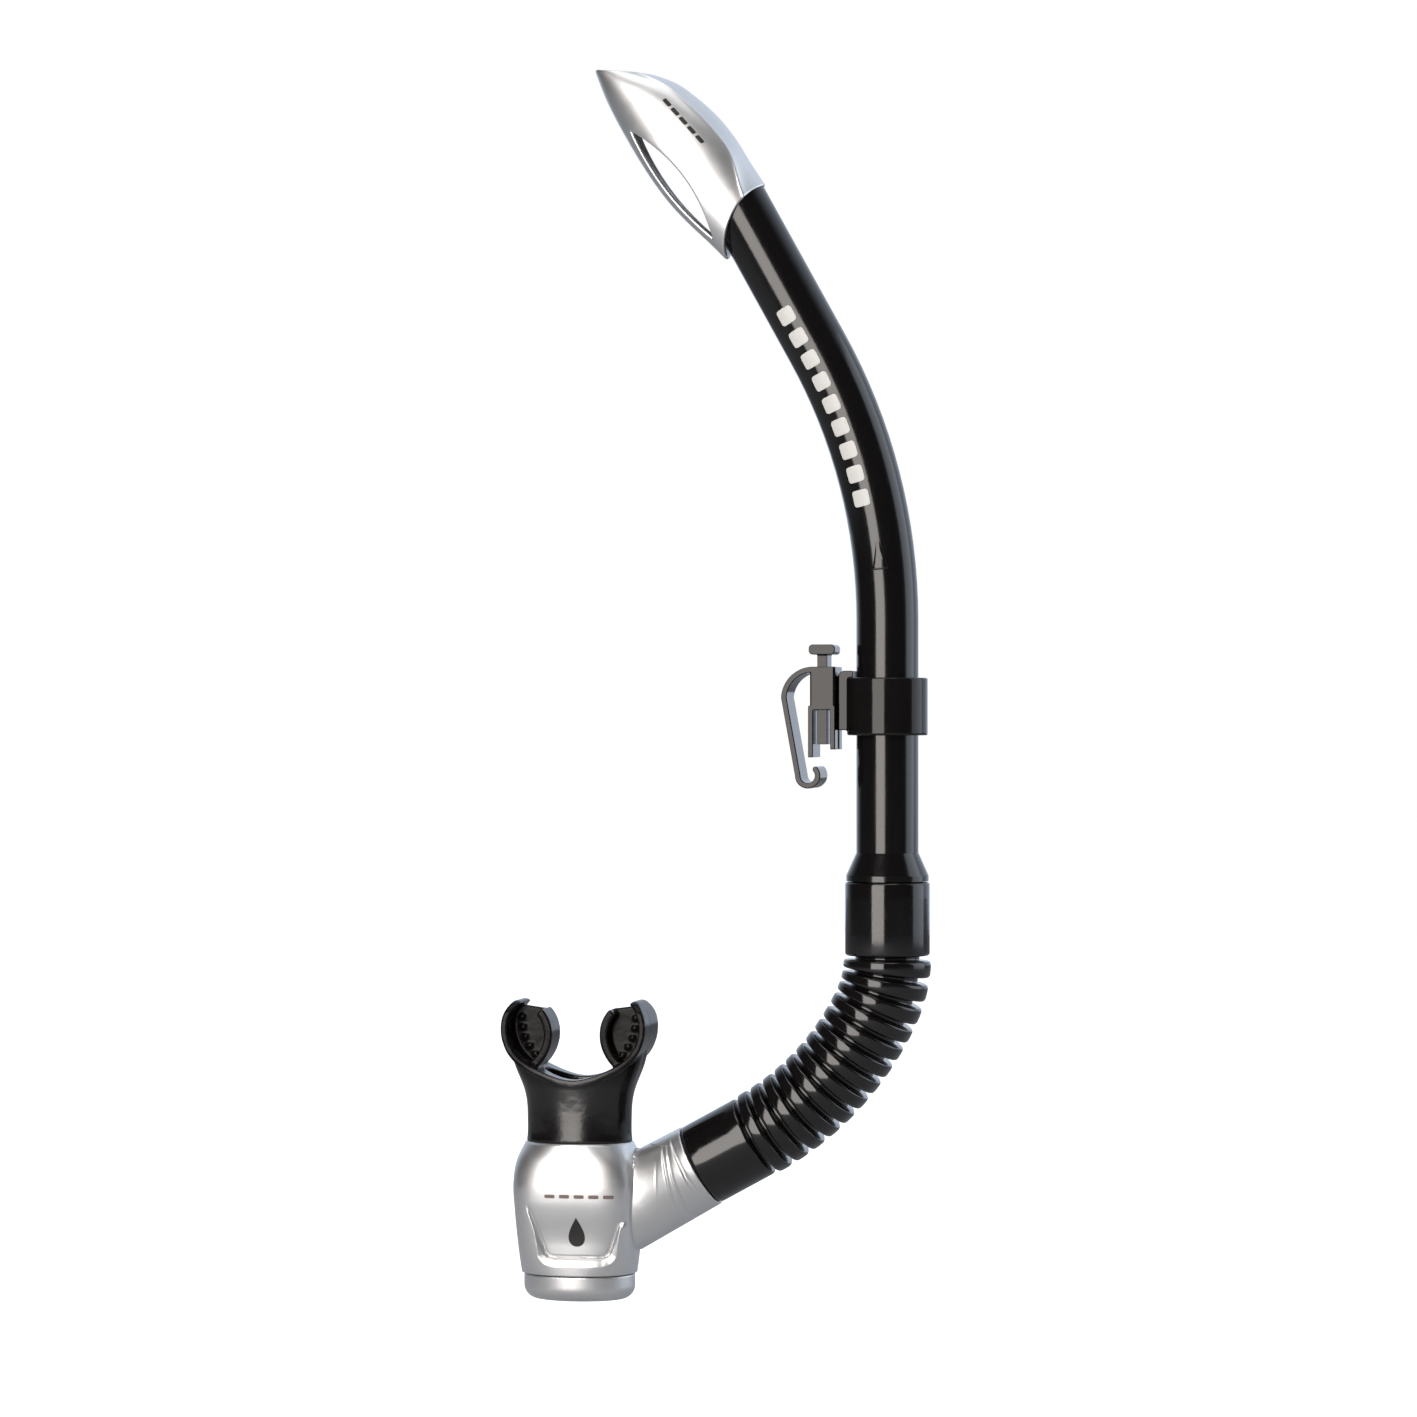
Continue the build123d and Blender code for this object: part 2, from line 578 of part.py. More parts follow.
def make_keeper_hook():
    block = block_between(BLOCK_LEFT_X, BLOCK_RIGHT_X, KEEPER_DEPTH, BLOCK_BOTTOM_Z, BLOCK_TOP_Z)
    block = fillet(block.edges().filter_by(Axis.Z), 0.8)
    left_leg = block_between(
        BLOCK_LEFT_X - 0.6, BLOCK_LEFT_X - 0.6 + LEG_THICKNESS, KEEPER_DEPTH, LEFT_LEG_BOTTOM_Z, 0
    )
    right_leg = block_between(
        BLOCK_RIGHT_X - LEG_THICKNESS, BLOCK_RIGHT_X, KEEPER_DEPTH, RIGHT_LEG_BOTTOM_Z, 0
    )
    plunger_room = block_between(
        PLUNGER_X - PLUNGER_WIDTH / 2 - KEEPER_GAP,
        PLUNGER_X + PLUNGER_WIDTH / 2 + KEEPER_GAP,
        PLUNGER_DEPTH + 2 * KEEPER_GAP,
        BLOCK_BOTTOM_Z,
        BLOCK_TOP_Z,
    )
    hook = block + left_leg + right_leg + hook_arm() - plunger_room
    return hook - rail(KEEPER_GAP, RIGHT_LEG_BOTTOM_Z, LUG_TOP_Z - 2 + KEEPER_GAP)


def make_release_plunger():
    stem = block_between(
        PLUNGER_X - PLUNGER_WIDTH / 2,
        PLUNGER_X + PLUNGER_WIDTH / 2,
        PLUNGER_DEPTH,
        PLUNGER_TONGUE_Z,
        PLUNGER_HEAD_Z + 1,
    )
    width, depth, height = PLUNGER_HEAD
    head = Pos(PLUNGER_X, 0, PLUNGER_HEAD_Z + height / 2) * Box(width, depth, height)
    head = fillet(head.edges().filter_by(Axis.Y), 1.4)
    return stem + head


# ---- write the parts --------------------------------------------------------

PARTS = {
    "barrel": make_barrel,
    "splash_hood": make_splash_hood,
    "flex_hose": make_flex_hose,
    "chamber_body": make_chamber_body,
    "valve_seat": make_valve_seat,
    "purge_valve": make_purge_valve,
    "purge_cover": make_purge_cover,
    "mouthpiece": make_mouthpiece,
    "keeper_liner": make_keeper_liner,
    "keeper_collar": make_keeper_collar,
    "keeper_hook": make_keeper_hook,
    "release_plunger": make_release_plunger,
}

os.makedirs("parts", exist_ok=True)
for node, make in PARTS.items():
    export_step(make(), f"parts/{node}.step")
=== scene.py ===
from math import cos, hypot, pi, radians, sin

import bmesh
import bpy
import numpy as np
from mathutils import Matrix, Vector


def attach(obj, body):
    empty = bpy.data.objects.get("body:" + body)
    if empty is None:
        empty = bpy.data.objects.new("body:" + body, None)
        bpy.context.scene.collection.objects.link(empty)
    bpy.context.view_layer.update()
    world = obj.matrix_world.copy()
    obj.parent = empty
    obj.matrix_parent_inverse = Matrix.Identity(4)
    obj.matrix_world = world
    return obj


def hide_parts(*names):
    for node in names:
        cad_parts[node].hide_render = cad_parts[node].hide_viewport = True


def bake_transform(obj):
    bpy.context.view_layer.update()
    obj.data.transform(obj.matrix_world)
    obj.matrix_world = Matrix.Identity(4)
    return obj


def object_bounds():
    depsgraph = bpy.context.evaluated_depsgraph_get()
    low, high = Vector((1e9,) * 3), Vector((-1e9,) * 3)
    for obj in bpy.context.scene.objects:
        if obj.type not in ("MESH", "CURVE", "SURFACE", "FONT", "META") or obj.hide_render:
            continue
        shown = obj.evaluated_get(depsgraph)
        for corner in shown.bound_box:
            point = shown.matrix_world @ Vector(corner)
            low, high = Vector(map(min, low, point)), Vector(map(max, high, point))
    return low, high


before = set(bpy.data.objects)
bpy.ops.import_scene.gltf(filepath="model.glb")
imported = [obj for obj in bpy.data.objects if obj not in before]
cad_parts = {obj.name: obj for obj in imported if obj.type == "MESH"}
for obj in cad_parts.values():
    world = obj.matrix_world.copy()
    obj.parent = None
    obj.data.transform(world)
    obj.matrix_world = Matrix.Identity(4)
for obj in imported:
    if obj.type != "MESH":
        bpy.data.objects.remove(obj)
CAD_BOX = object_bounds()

# The look of the snorkel tube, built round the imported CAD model.  The frame is
# the CAD frame: metres, +Z up along the barrel, -X towards the mouthpiece.
# Shapes below are worked out in millimetres and turned into metres by MM.

MM = 0.001

# ---- shape of the tube, as in the CAD model ---------------------------------

BARREL_R = 11.0
BEND_R = 200.0
BEND_ANGLE = radians(29.0)
STRAIGHT_TOP_Z = 30.3
CUFF_SEAM_Z = -62.0

SEAM_FRONT = (46.5, -11.5)
SEAM_BACK = (60.0, 11.5)
SEAM_ARC_R = 34.2
RIM_CORNER = (115.3, -4.4)
RIM_TIP = (126.9, -21.6)

CUFF_R = 15.0
RING_R = 15.5
GROOVE_R = 11.4
BORE_R = 9.2
SOCKET_R = 12.2
UPPER_CUFF_LENGTH = 27.0
LOWER_CUFF_LENGTH = 23.0
TIGHT_BEND_R = 41.4
TIGHT_BEND_ANGLE = radians(25.0)
EASY_BEND_R = 102.5
EASY_BEND_ANGLE = radians(36.0)
RING_COUNT = 13
RING_HALF_SHARE = 0.35
EDGE_ROUNDING = 1.0
CUFF_END_GAP = 0.3
CUFF_FOOT = 0.6
SOCKET_DEPTH = 22.0
# The mouthpiece turns from glossy to dull between these heights, towards the bite.
GRIP_DULL_FROM_Z = -137.0
GRIP_DULL_TO_Z = -128.0

# ---- helpers ----------------------------------------------------------------


def curve_through(points):
    """Smooth function y(x) through the given (x, y) points."""
    xs, ys = np.array(points, float).T
    slopes = np.gradient(ys, xs)

    def value(x):
        x = np.clip(np.asarray(x, float), xs[0], xs[-1])
        k = np.clip(np.searchsorted(xs, x) - 1, 0, len(xs) - 2)
        width = xs[k + 1] - xs[k]
        t = (x - xs[k]) / width
        rise = ys[k + 1] - ys[k]
        start, end = slopes[k] * width, slopes[k + 1] * width
        cubic = (start + end - 2 * rise) * t**3 + (3 * rise - 2 * start - end) * t**2
        return cubic + start * t + ys[k]

    return value


def smooth_step(x):
    """0 below 0, 1 above 1, and a smooth ramp between."""
    t = np.clip(x, 0.0, 1.0)
    return t * t * (3 - 2 * t)


def new_object(name, mesh):
    """A shown, smooth-shaded mesh object."""
    piece = bpy.data.objects.new(name, mesh)
    bpy.context.collection.objects.link(piece)
    mesh.polygons.foreach_set("use_smooth", [True] * len(mesh.polygons))
    return piece


def grid_object(name, points, wrap_rows=False, wrap_columns=True):
    """Mesh from a (rows, columns, 3) grid of points in millimetres."""
    rows, columns = points.shape[:2]
    index = np.arange(rows * columns).reshape(rows, columns)
    down = np.roll(index, -1, axis=0) if wrap_rows else index[1:]
    here = index if wrap_rows else index[:-1]
    if wrap_columns:
        quads = np.stack([here, np.roll(here, -1, 1), np.roll(down, -1, 1), down], -1)
    else:
        quads = np.stack([here[:, :-1], here[:, 1:], down[:, 1:], down[:, :-1]], -1)
    mesh = bpy.data.meshes.new(name)
    mesh.from_pydata((points.reshape(-1, 3) * MM).tolist(), [], quads.reshape(-1, 4).tolist())
    return new_object(name, mesh)


def tidy_mesh(piece, merge=1e-7):
    """Joins doubled vertices and turns every face outwards."""
    shape = bmesh.new()
    shape.from_mesh(piece.data)
    bmesh.ops.remove_doubles(shape, verts=shape.verts, dist=merge)
    bmesh.ops.recalc_face_normals(shape, faces=shape.faces)
    shape.to_mesh(piece.data)
    shape.free()


def bake_modifiers(piece):
    """Replaces the piece's mesh by its evaluated one and drops the modifiers."""
    bpy.context.view_layer.update()
    evaluated = piece.evaluated_get(bpy.context.evaluated_depsgraph_get())
    mesh = bpy.data.meshes.new_from_object(evaluated)
    piece.modifiers.clear()
    piece.data = mesh
    mesh.polygons.foreach_set("use_smooth", [True] * len(mesh.polygons))


def softened(node, name, voxel, rounds):
    """Copy of a CAD node remeshed finely, with every edge softly rounded."""
    piece = new_object(name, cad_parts[node].data.copy())
    tidy_mesh(piece, 1e-6)
    remesh = piece.modifiers.new("remesh", "REMESH")
    remesh.mode = "VOXEL"
    remesh.voxel_size = voxel * MM
    smooth = piece.modifiers.new("smooth", "SMOOTH")
    smooth.factor = 0.5
    smooth.iterations = rounds
    bake_modifiers(piece)
    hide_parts(node)
    return piece


def finish_piece(piece, body, material):
    """Gives a piece its body and its material."""
    piece.data.materials.clear()
    piece.data.materials.append(material)
    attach(piece, body)


# ---- materials --------------------------------------------------------------


def new_material(name, color, roughness, metallic=0.0, coat=0.0, coat_roughness=0.05):
    """Principled material, returned with its node tree and shader."""
    material = bpy.data.materials.new(name)
    material.use_nodes = True
    tree = material.node_tree
    shader = tree.nodes["Principled BSDF"]
    shader.inputs["Base Color"].default_value = (*color, 1)
    shader.inputs["Roughness"].default_value = roughness
    shader.inputs["Metallic"].default_value = metallic
    shader.inputs["Coat Weight"].default_value = coat
    shader.inputs["Coat Roughness"].default_value = coat_roughness
    return material, tree, shader


def noise(tree, scale, detail=3.0, stretch=(1, 1, 1)):
    """Noise texture in object space; scale is in features per metre."""
    place = tree.nodes.new("ShaderNodeTexCoord")
    mapping = tree.nodes.new("ShaderNodeMapping")
    mapping.inputs["Scale"].default_value = stretch
    texture = tree.nodes.new("ShaderNodeTexNoise")
    texture.inputs["Scale"].default_value = scale
    texture.inputs["Detail"].default_value = detail
    tree.links.new(place.outputs["Object"], mapping.inputs["Vector"])
    tree.links.new(mapping.outputs["Vector"], texture.inputs["Vector"])
    return texture.outputs["Fac"]


def ramp(tree, source, low, high):
    """Source from 0..1 mapped to low..high."""
    spread = tree.nodes.new("ShaderNodeMapRange")
    spread.inputs["From Min"].default_value = 0.3
    spread.inputs["From Max"].default_value = 0.7
    spread.inputs["To Min"].default_value = low
    spread.inputs["To Max"].default_value = high
    tree.links.new(source, spread.inputs["Value"])
    return spread.outputs["Result"]


def add_bump(tree, shader, source, height):
    """Surface relief from a source, its height in millimetres."""
    bump = tree.nodes.new("ShaderNodeBump")
    bump.inputs["Distance"].default_value = height * MM
    tree.links.new(source, bump.inputs["Height"])
    tree.links.new(bump.outputs["Normal"], shader.inputs["Normal"])


def tint(tree, shader, source, dark, light):
    """Base colour varied between two colours by a source."""
    mix = tree.nodes.new("ShaderNodeMix")
    mix.data_type = "RGBA"
    mix.inputs["A"].default_value = (*dark, 1)
    mix.inputs["B"].default_value = (*light, 1)
    tree.links.new(source, mix.inputs["Factor"])
    tree.links.new(mix.outputs["Result"], shader.inputs["Base Color"])


def gloss_black():
    """Polished black tube, with faint handling scratches along it."""
    material, tree, shader = new_material("gloss_black", (0.004, 0.004, 0.004), 0.14)
    scratches = noise(tree, 900, 4, (1, 1, 0.06))
    tree.links.new(ramp(tree, scratches, 0.12, 0.17), shader.inputs["Roughness"])
    tint(tree, shader, noise(tree, 60), (0.004, 0.0035, 0.0035), (0.006, 0.0055, 0.0055))
    add_bump(tree, shader, noise(tree, 120, 1), 0.006)
    return material


def silver_paint():
    """Satin metallic paint: fine flake under a soft coat."""
    material, tree, shader = new_material("silver_paint", (0.64, 0.645, 0.65), 0.38, 0.9, 0.2, 0.15)
    flake = noise(tree, 9000, 2)
    tint(tree, shader, flake, (0.60, 0.605, 0.61), (0.68, 0.685, 0.69))
    tree.links.new(ramp(tree, noise(tree, 300, 3), 0.36, 0.41), shader.inputs["Roughness"])
    add_bump(tree, shader, flake, 0.004)
    return material


def hose_rubber():
    """Glossy black silicone of the hose."""
    material, tree, shader = new_material("hose_rubber", (0.004, 0.004, 0.004), 0.1)
    tree.links.new(ramp(tree, noise(tree, 500, 4), 0.08, 0.14), shader.inputs["Roughness"])
    tint(tree, shader, noise(tree, 80), (0.004, 0.0035, 0.0035), (0.007, 0.006, 0.006))
    add_bump(tree, shader, noise(tree, 1500, 3), 0.006)
    return material


def mouth_silicone():
    """Soft silicone of the mouthpiece, glossy with a slight ripple."""
    material, tree, shader = new_material("mouth_silicone", (0.004, 0.004, 0.004), 0.2)
    tree.links.new(ramp(tree, noise(tree, 400, 4), 0.17, 0.24), shader.inputs["Roughness"])
    tint(tree, shader, noise(tree, 70), (0.004, 0.0035, 0.0035), (0.007, 0.006, 0.006))
    add_bump(tree, shader, noise(tree, 170, 3), 0.16)
    place = tree.nodes.new("ShaderNodeTexCoord")
    split = tree.nodes.new("ShaderNodeSeparateXYZ")
    dulled = tree.nodes.new("ShaderNodeMapRange")
    dulled.inputs["From Min"].default_value = GRIP_DULL_FROM_Z * MM
    dulled.inputs["From Max"].default_value = GRIP_DULL_TO_Z * MM
    dulled.inputs["To Min"].default_value = 0.5
    dulled.inputs["To Max"].default_value = 0.1
    tree.links.new(place.outputs["Object"], split.inputs["Vector"])
    tree.links.new(split.outputs["Z"], dulled.inputs["Value"])
    tree.links.new(dulled.outputs["Result"], shader.inputs["Specular IOR Level"])
    return material


def keeper_plastic():
    """Polished dark plastic of the keeper."""
    material, tree, shader = new_material("keeper_plastic", (0.005, 0.005, 0.005), 0.1)
    tree.links.new(ramp(tree, noise(tree, 700, 3), 0.08, 0.13), shader.inputs["Roughness"])
    tint(tree, shader, noise(tree, 90), (0.005, 0.0045, 0.0045), (0.008, 0.007, 0.007))
    add_bump(tree, shader, noise(tree, 300, 2), 0.01)
    shader.inputs["Specular IOR Level"].default_value = 0.28
    return material


def valve_silicone():
    """Milky translucent silicone of the purge valve."""
    material, tree, shader = new_material("valve_silicone", (0.75, 0.76, 0.78), 0.35)
    shader.inputs["Subsurface Weight"].default_value = 0.4
    shader.inputs["Subsurface Scale"].default_value = 0.002
    tint(tree, shader, noise(tree, 200), (0.70, 0.71, 0.73), (0.80, 0.81, 0.83))
    add_bump(tree, shader, noise(tree, 1200), 0.01)
    return material


def grey_plastic():
    """Matte grey plastic of the hidden parts."""
    material, tree, shader = new_material("grey_plastic", (0.2, 0.2, 0.21), 0.5)
    tint(tree, shader, noise(tree, 400), (0.17, 0.17, 0.18), (0.22, 0.22, 0.23))
    add_bump(tree, shader, noise(tree, 2500), 0.02)
    return material


def print_ink(name, color):
    """Flat printed ink."""
    material, tree, shader = new_material(name, color, 0.45)
    low, high = [0.92 * c for c in color], [min(1.05 * c, 1) for c in color]
    tint(tree, shader, noise(tree, 1800), low, high)
    add_bump(tree, shader, noise(tree, 2500), 0.004)
    return material


# ---- flexible hose ----------------------------------------------------------

TIGHT_LENGTH = TIGHT_BEND_R * TIGHT_BEND_ANGLE
EASY_LENGTH = EASY_BEND_R * EASY_BEND_ANGLE
HOSE_BEND_LENGTH = TIGHT_LENGTH + EASY_LENGTH
HOSE_START_Z = CUFF_SEAM_Z - UPPER_CUFF_LENGTH


def hose_centre(distance):
    """Point (x, z) and turned angle of the hose's centreline; 0 is where the bend starts."""
    if distance <= 0:
        return 0.0, HOSE_START_Z - distance, 0.0
    tight = min(distance, TIGHT_LENGTH) / TIGHT_BEND_R
    x = -TIGHT_BEND_R * (1 - cos(tight))
    z = HOSE_START_Z - TIGHT_BEND_R * sin(tight)
    if distance <= TIGHT_LENGTH:
        return x, z, tight
    turned = tight + min(distance - TIGHT_LENGTH, EASY_LENGTH) / EASY_BEND_R
    x += -EASY_BEND_R * (cos(tight) - cos(turned))
    z += -EASY_BEND_R * (sin(turned) - sin(tight))
    beyond = max(distance - HOSE_BEND_LENGTH, 0)
    return x - beyond * sin(turned), z - beyond * cos(turned), turned


def hose_profile():
    """(distance, radius) round the hose's wall: outside down, then the bore back up."""
    top = -UPPER_CUFF_LENGTH + CUFF_END_GAP
    bottom = HOSE_BEND_LENGTH + LOWER_CUFF_LENGTH - CUFF_END_GAP
    profile = rounded_step(top, SOCKET_R, CUFF_R, 1)
    profile += [(top + 6 * k, CUFF_R) for k in range(1, 4)]
    profile += rounded_step(-CUFF_FOOT, CUFF_R, GROOVE_R, -1)
    pitch = HOSE_BEND_LENGTH / RING_COUNT
    half_width = RING_HALF_SHARE * pitch
    for number in range(RING_COUNT):
        middle = (number + 0.5) * pitch
        profile += rounded_step(middle - half_width, GROOVE_R, RING_R, 1)
        profile.append((middle, RING_R + 0.05))
        profile += rounded_step(middle + half_width, RING_R, GROOVE_R, -1)
    profile += rounded_step(HOSE_BEND_LENGTH + CUFF_FOOT, GROOVE_R, CUFF_R, 1)
    profile += [(HOSE_BEND_LENGTH + 6 * k, CUFF_R) for k in range(1, 4)]
    profile += rounded_step(bottom, CUFF_R, SOCKET_R, -1)
    return profile + hose_bore(top, bottom)


def hose_bore(top, bottom):
    """(distance, radius) up the hose's inside: lower socket, bore and upper socket."""
    socket_end = bottom - SOCKET_DEPTH
    bore = [(bottom - 7 * k, SOCKET_R) for k in range(1, 4)]
    bore += [(socket_end, SOCKET_R), (socket_end - 0.4, BORE_R)]
    steps = 26
    first, last = socket_end - 3.0, top + SOCKET_DEPTH + 3.0
    bore += [(first + (last - first) * k / steps, BORE_R) for k in range(steps + 1)]
    bore += [(top + SOCKET_DEPTH + 0.4, BORE_R), (top + SOCKET_DEPTH, SOCKET_R)]
    return bore + [(top + 7 * k, SOCKET_R) for k in (2, 1)]


def rounded_step(at, from_r, to_r, way):
    """Profile points of a wall across the hose, its outer corner rounded.

    The wall climbs where way is 1 and drops where it is -1.
    """
    outer, inner = max(from_r, to_r), min(from_r, to_r)
    edge = EDGE_ROUNDING
    foot = [(at - way * 0.25, inner), (at, inner + 0.35), (at, outer - edge)]
    corner = [
        (at + way * edge * (1 - cos(angle)), outer - edge * (1 - sin(angle)))
        for angle in (radians(25), radians(50), radians(75), radians(90))
    ]
    points = foot + corner
    return points if way > 0 else points[::-1]


def make_hose():
    """Ringed hose as one closed wall, bending between the barrel's side and the chamber."""
    angles = np.linspace(0, 2 * pi, 96, endpoint=False)
    rows = []
    for distance, radius in hose_profile():
        x, z, turned = hose_centre(distance)
        across = radius * np.cos(angles)
        depth = radius * np.sin(angles)
        rows.append(np.stack([x + across * cos(turned), depth, z - across * sin(turned)], 1))
    hose = grid_object("ringed_hose", np.array(rows), wrap_rows=True)
    tidy_mesh(hose)
    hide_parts("flex_hose")
    hose.data.materials.append(hose_rubber())
    x, z, _ = hose_centre(HOSE_BEND_LENGTH)
    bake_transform(hose)


# ---- splash hood ------------------------------------------------------------

hood_front = curve_through(
    [(36, -11.2), (52, -15.7), (60, -18.3), (70, -21.0), (80, -22.6), (90, -23.4),
     (100, -23.7), (108, -23.7), (116, -23.3), (124, -22.3), (131, -21.2)]
)
hood_back = curve_through(
    [(36, 11.2), (56, 12.1), (70, 11.1), (80, 10.6), (90, 8.9), (100, 5.5),
     (108, 1.7), (116, -5.0), (124, -13.2), (131, -19.6)]
)
hood_depth = curve_through(
    [(36, 11.2), (52, 12.0), (70, 12.8), (84, 12.9), (96, 12.3), (108, 10.9),
     (116, 9.2), (124, 6.2), (131, 2.6)]
)
strip_width = curve_through(
    [(36, 9.0), (60, 7.6), (72, 4.2), (90, 4.2), (108, 3.0), (120, 1.2), (131, 0.5)]
)
slot_gap = curve_through([(36, 1.0), (51.7, 2.2), (99.6, 3.4), (131, 1.2)])
SLOT_LOW = (51.7, -13.4)
SLOT_HIGH = (99.6, -20.3)
SLOT_OUTER_BULGE = 3.1
SLOT_INNER_BULGE = 5.4
HOOD_WALL = 1.6
HOOD_FULLNESS = 0.86
RIDGE_HEIGHT = 0.25


def upper_point(s, n, y):
    """Point from s along the barrel's upper run, n across it and depth y."""
    end_x = -BEND_R * (1 - cos(BEND_ANGLE))
    end_z = STRAIGHT_TOP_Z + BEND_R * sin(BEND_ANGLE)
    x = end_x - s * sin(BEND_ANGLE) + n * cos(BEND_ANGLE)
    z = end_z + s * cos(BEND_ANGLE) + n * sin(BEND_ANGLE)
    return np.stack([x, y, z], -1)


def slot_edge(s, bulge):
    """Where one edge of the drain slot lies across the hood at s.

    The two edges meet at the slot's tips.
    """
    share = (s - SLOT_LOW[0]) / (SLOT_HIGH[0] - SLOT_LOW[0])
    inside = SLOT_LOW[1] + share * (SLOT_HIGH[1] - SLOT_LOW[1]) + bulge * 4 * share * (1 - share)
    outside = hood_front(s) + slot_gap(s)
    return np.where((share > 0) & (share < 1), inside, outside)


def hood_section(s, zone, along):
    """(n, y) of the hood's surface at s.

    The zones are spine, side and back, and along runs from 0 to 1 through each.
    """
    front, back, depth = hood_front(s), hood_back(s), hood_depth(s)
    middle, half = (front + back) / 2, (back - front) / 2
    crease_n = back - strip_width(s)

    def angle_at(n):
        return np.arccos(np.clip((middle - n) / half, -1, 1))

    if zone == "spine":
        angle = angle_at(slot_edge(s, -SLOT_OUTER_BULGE)) * along
    else:
        first = angle_at(slot_edge(s, SLOT_INNER_BULGE))
        last = angle_at(crease_n)
        angle = first + (last - first) * (along if zone == "side" else 1.0)
    n = middle - half * np.cos(angle)
    y = depth * np.sin(angle) ** HOOD_FULLNESS
    if zone == "side":
        ridge = np.exp(-(((1 - along) / 0.03) ** 2)) * RIDGE_HEIGHT
        return n + ridge * 0.5, y + ridge
    if zone == "back":
        ridge = np.exp(-((along / 0.10) ** 2)) * RIDGE_HEIGHT
        return n + (back - n) * (1 - (1 - along) ** 1.5) + ridge * 0.5, y * (1 - along) + ridge
    return n, y


def seam_s(n):
    """Where the curved seam of barrel and hood crosses n."""
    half_s = (SEAM_BACK[0] - SEAM_FRONT[0]) / 2
    half_n = (SEAM_BACK[1] - SEAM_FRONT[1]) / 2
    half_chord = hypot(half_s, half_n)
    drop = (SEAM_ARC_R**2 - half_chord**2) ** 0.5 / half_chord
    middle_s = (SEAM_FRONT[0] + SEAM_BACK[0]) / 2 - drop * half_n
    middle_n = (SEAM_FRONT[1] + SEAM_BACK[1]) / 2 + drop * half_s
    return middle_s + (SEAM_ARC_R**2 - (n - middle_n) ** 2) ** 0.5


def rim_s(n):
    """Where the open rim crosses n."""
    slope = (RIM_TIP[0] - RIM_CORNER[0]) / (RIM_TIP[1] - RIM_CORNER[1])
    return RIM_CORNER[0] + (n - RIM_CORNER[1]) * slope


def hood_column(zone, along, rows):
    """Points of the hood's surface from the seam up to the rim."""
    low, high = 50.0, 115.0
    for _ in range(40):
        low += 0.5 * (seam_s(hood_section(low, zone, along)[0]) - low)
        high += 0.3 * (rim_s(hood_section(high, zone, along)[0]) - high)
    s = np.linspace(low, high, rows)
    n, y = hood_section(s, zone, along)
    return upper_point(s, n, y)


def make_hood(material):
    """Splash hood: a thin shell with an open rim and a long slot on each side."""
    rows = 84
    spine = [hood_column("spine", k / 7, rows) for k in range(8)]
    side_steps = [k / 24 for k in range(24)] + [0.985, 1.0]
    side = [hood_column("side", along, rows) for along in side_steps]
    back_steps = [0.05] + [k / 9 for k in range(1, 10)]
    back = [hood_column("back", along, rows) for along in back_steps]
    flip = np.array([1, -1, 1])
    front_strip = [column * flip for column in spine[:0:-1]] + spine
    far_half = [column * flip for column in (side + back)[::-1]]
    shell = np.array(side + back + far_half[1:])
    strip = grid_object("hood_strip", np.array(front_strip), wrap_columns=False)
    hood = grid_object("splash_shell", shell, wrap_columns=False)
    joined = bmesh.new()
    joined.from_mesh(strip.data)
    joined.from_mesh(hood.data)
    joined.to_mesh(hood.data)
    joined.free()
    bpy.data.objects.remove(strip)
    tidy_mesh(hood, 1e-6)
    wall = hood.modifiers.new("wall", "SOLIDIFY")
    wall.thickness = HOOD_WALL * MM
    wall.offset = -1
    wall.use_even_offset = True
    wall.edge_crease_rim = 0.4
    rounding = hood.modifiers.new("rounding", "SUBSURF")
    rounding.levels = rounding.render_levels = 1
    bake_modifiers(hood)
    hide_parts("splash_hood")
    finish_piece(hood, "barrel", material)


# ---- mouthpiece chamber -----------------------------------------------------

CHAMBER_X = -111.5
CHAMBER_TOP_Z = -156.0
CHAMBER_BOTTOM_Z = -203.0
CHAMBER_DEPTH_RATIO = 0.78
CHAMBER_WALL = 2.0
chamber_width = curve_through(
    [(-203, 20.7), (-191, 21.6), (-180, 22.4), (-170, 22.9), (-162, 21.9), (-156, 19.4)]
)
chamber_squareness = curve_through(
    [(-203, 2.3), (-197, 2.9), (-188, 3.5), (-170, 3.6), (-162, 2.9), (-156, 2.15)]
)
# Lower outline of each sunk panel, from its upper corner to its middle.
PANEL_SHIFT = 2.2
PANEL_TOP_Z = -176.0
PANEL_SINK = 1.8
PANEL_FADE = 16
PANEL_OUTLINE = [
    (18.8, PANEL_TOP_Z), (14.3, -186.2), (11.9, -193.0), (11.3, -194.7),
    (10.2, -195.8), (8.6, -196.2), (0.0, -196.2),
]
PANEL_CREASE_DEPTH = 0.7
PANEL_CREASE_WIDTH = 0.4
BRANCH_SQUASH = 0.2
BRANCH_SQUASH_LENGTH = 24
BRANCH_CREASE_WIDTH = 0.42
# Shallow creases that fan over the branch, each a run of (x, z) points and a depth.
BRANCH_CREASES = [
    ([(-81.2, -161.7), (-81.2, -183.3)], 0.16),
    ([(-79.6, -156.3), (-78.1, -163.0), (-74.3, -180.2)], 0.62),
    ([(-78.1, -154.4), (-75.0, -167.4), (-68.7, -184.6)], 0.50),
    ([(-77.4, -152.6), (-73.1, -161.2), (-64.6, -178.4)], 0.66),
    ([(-75.5, -157.4), (-63.4, -176.5)], 0.50),
]


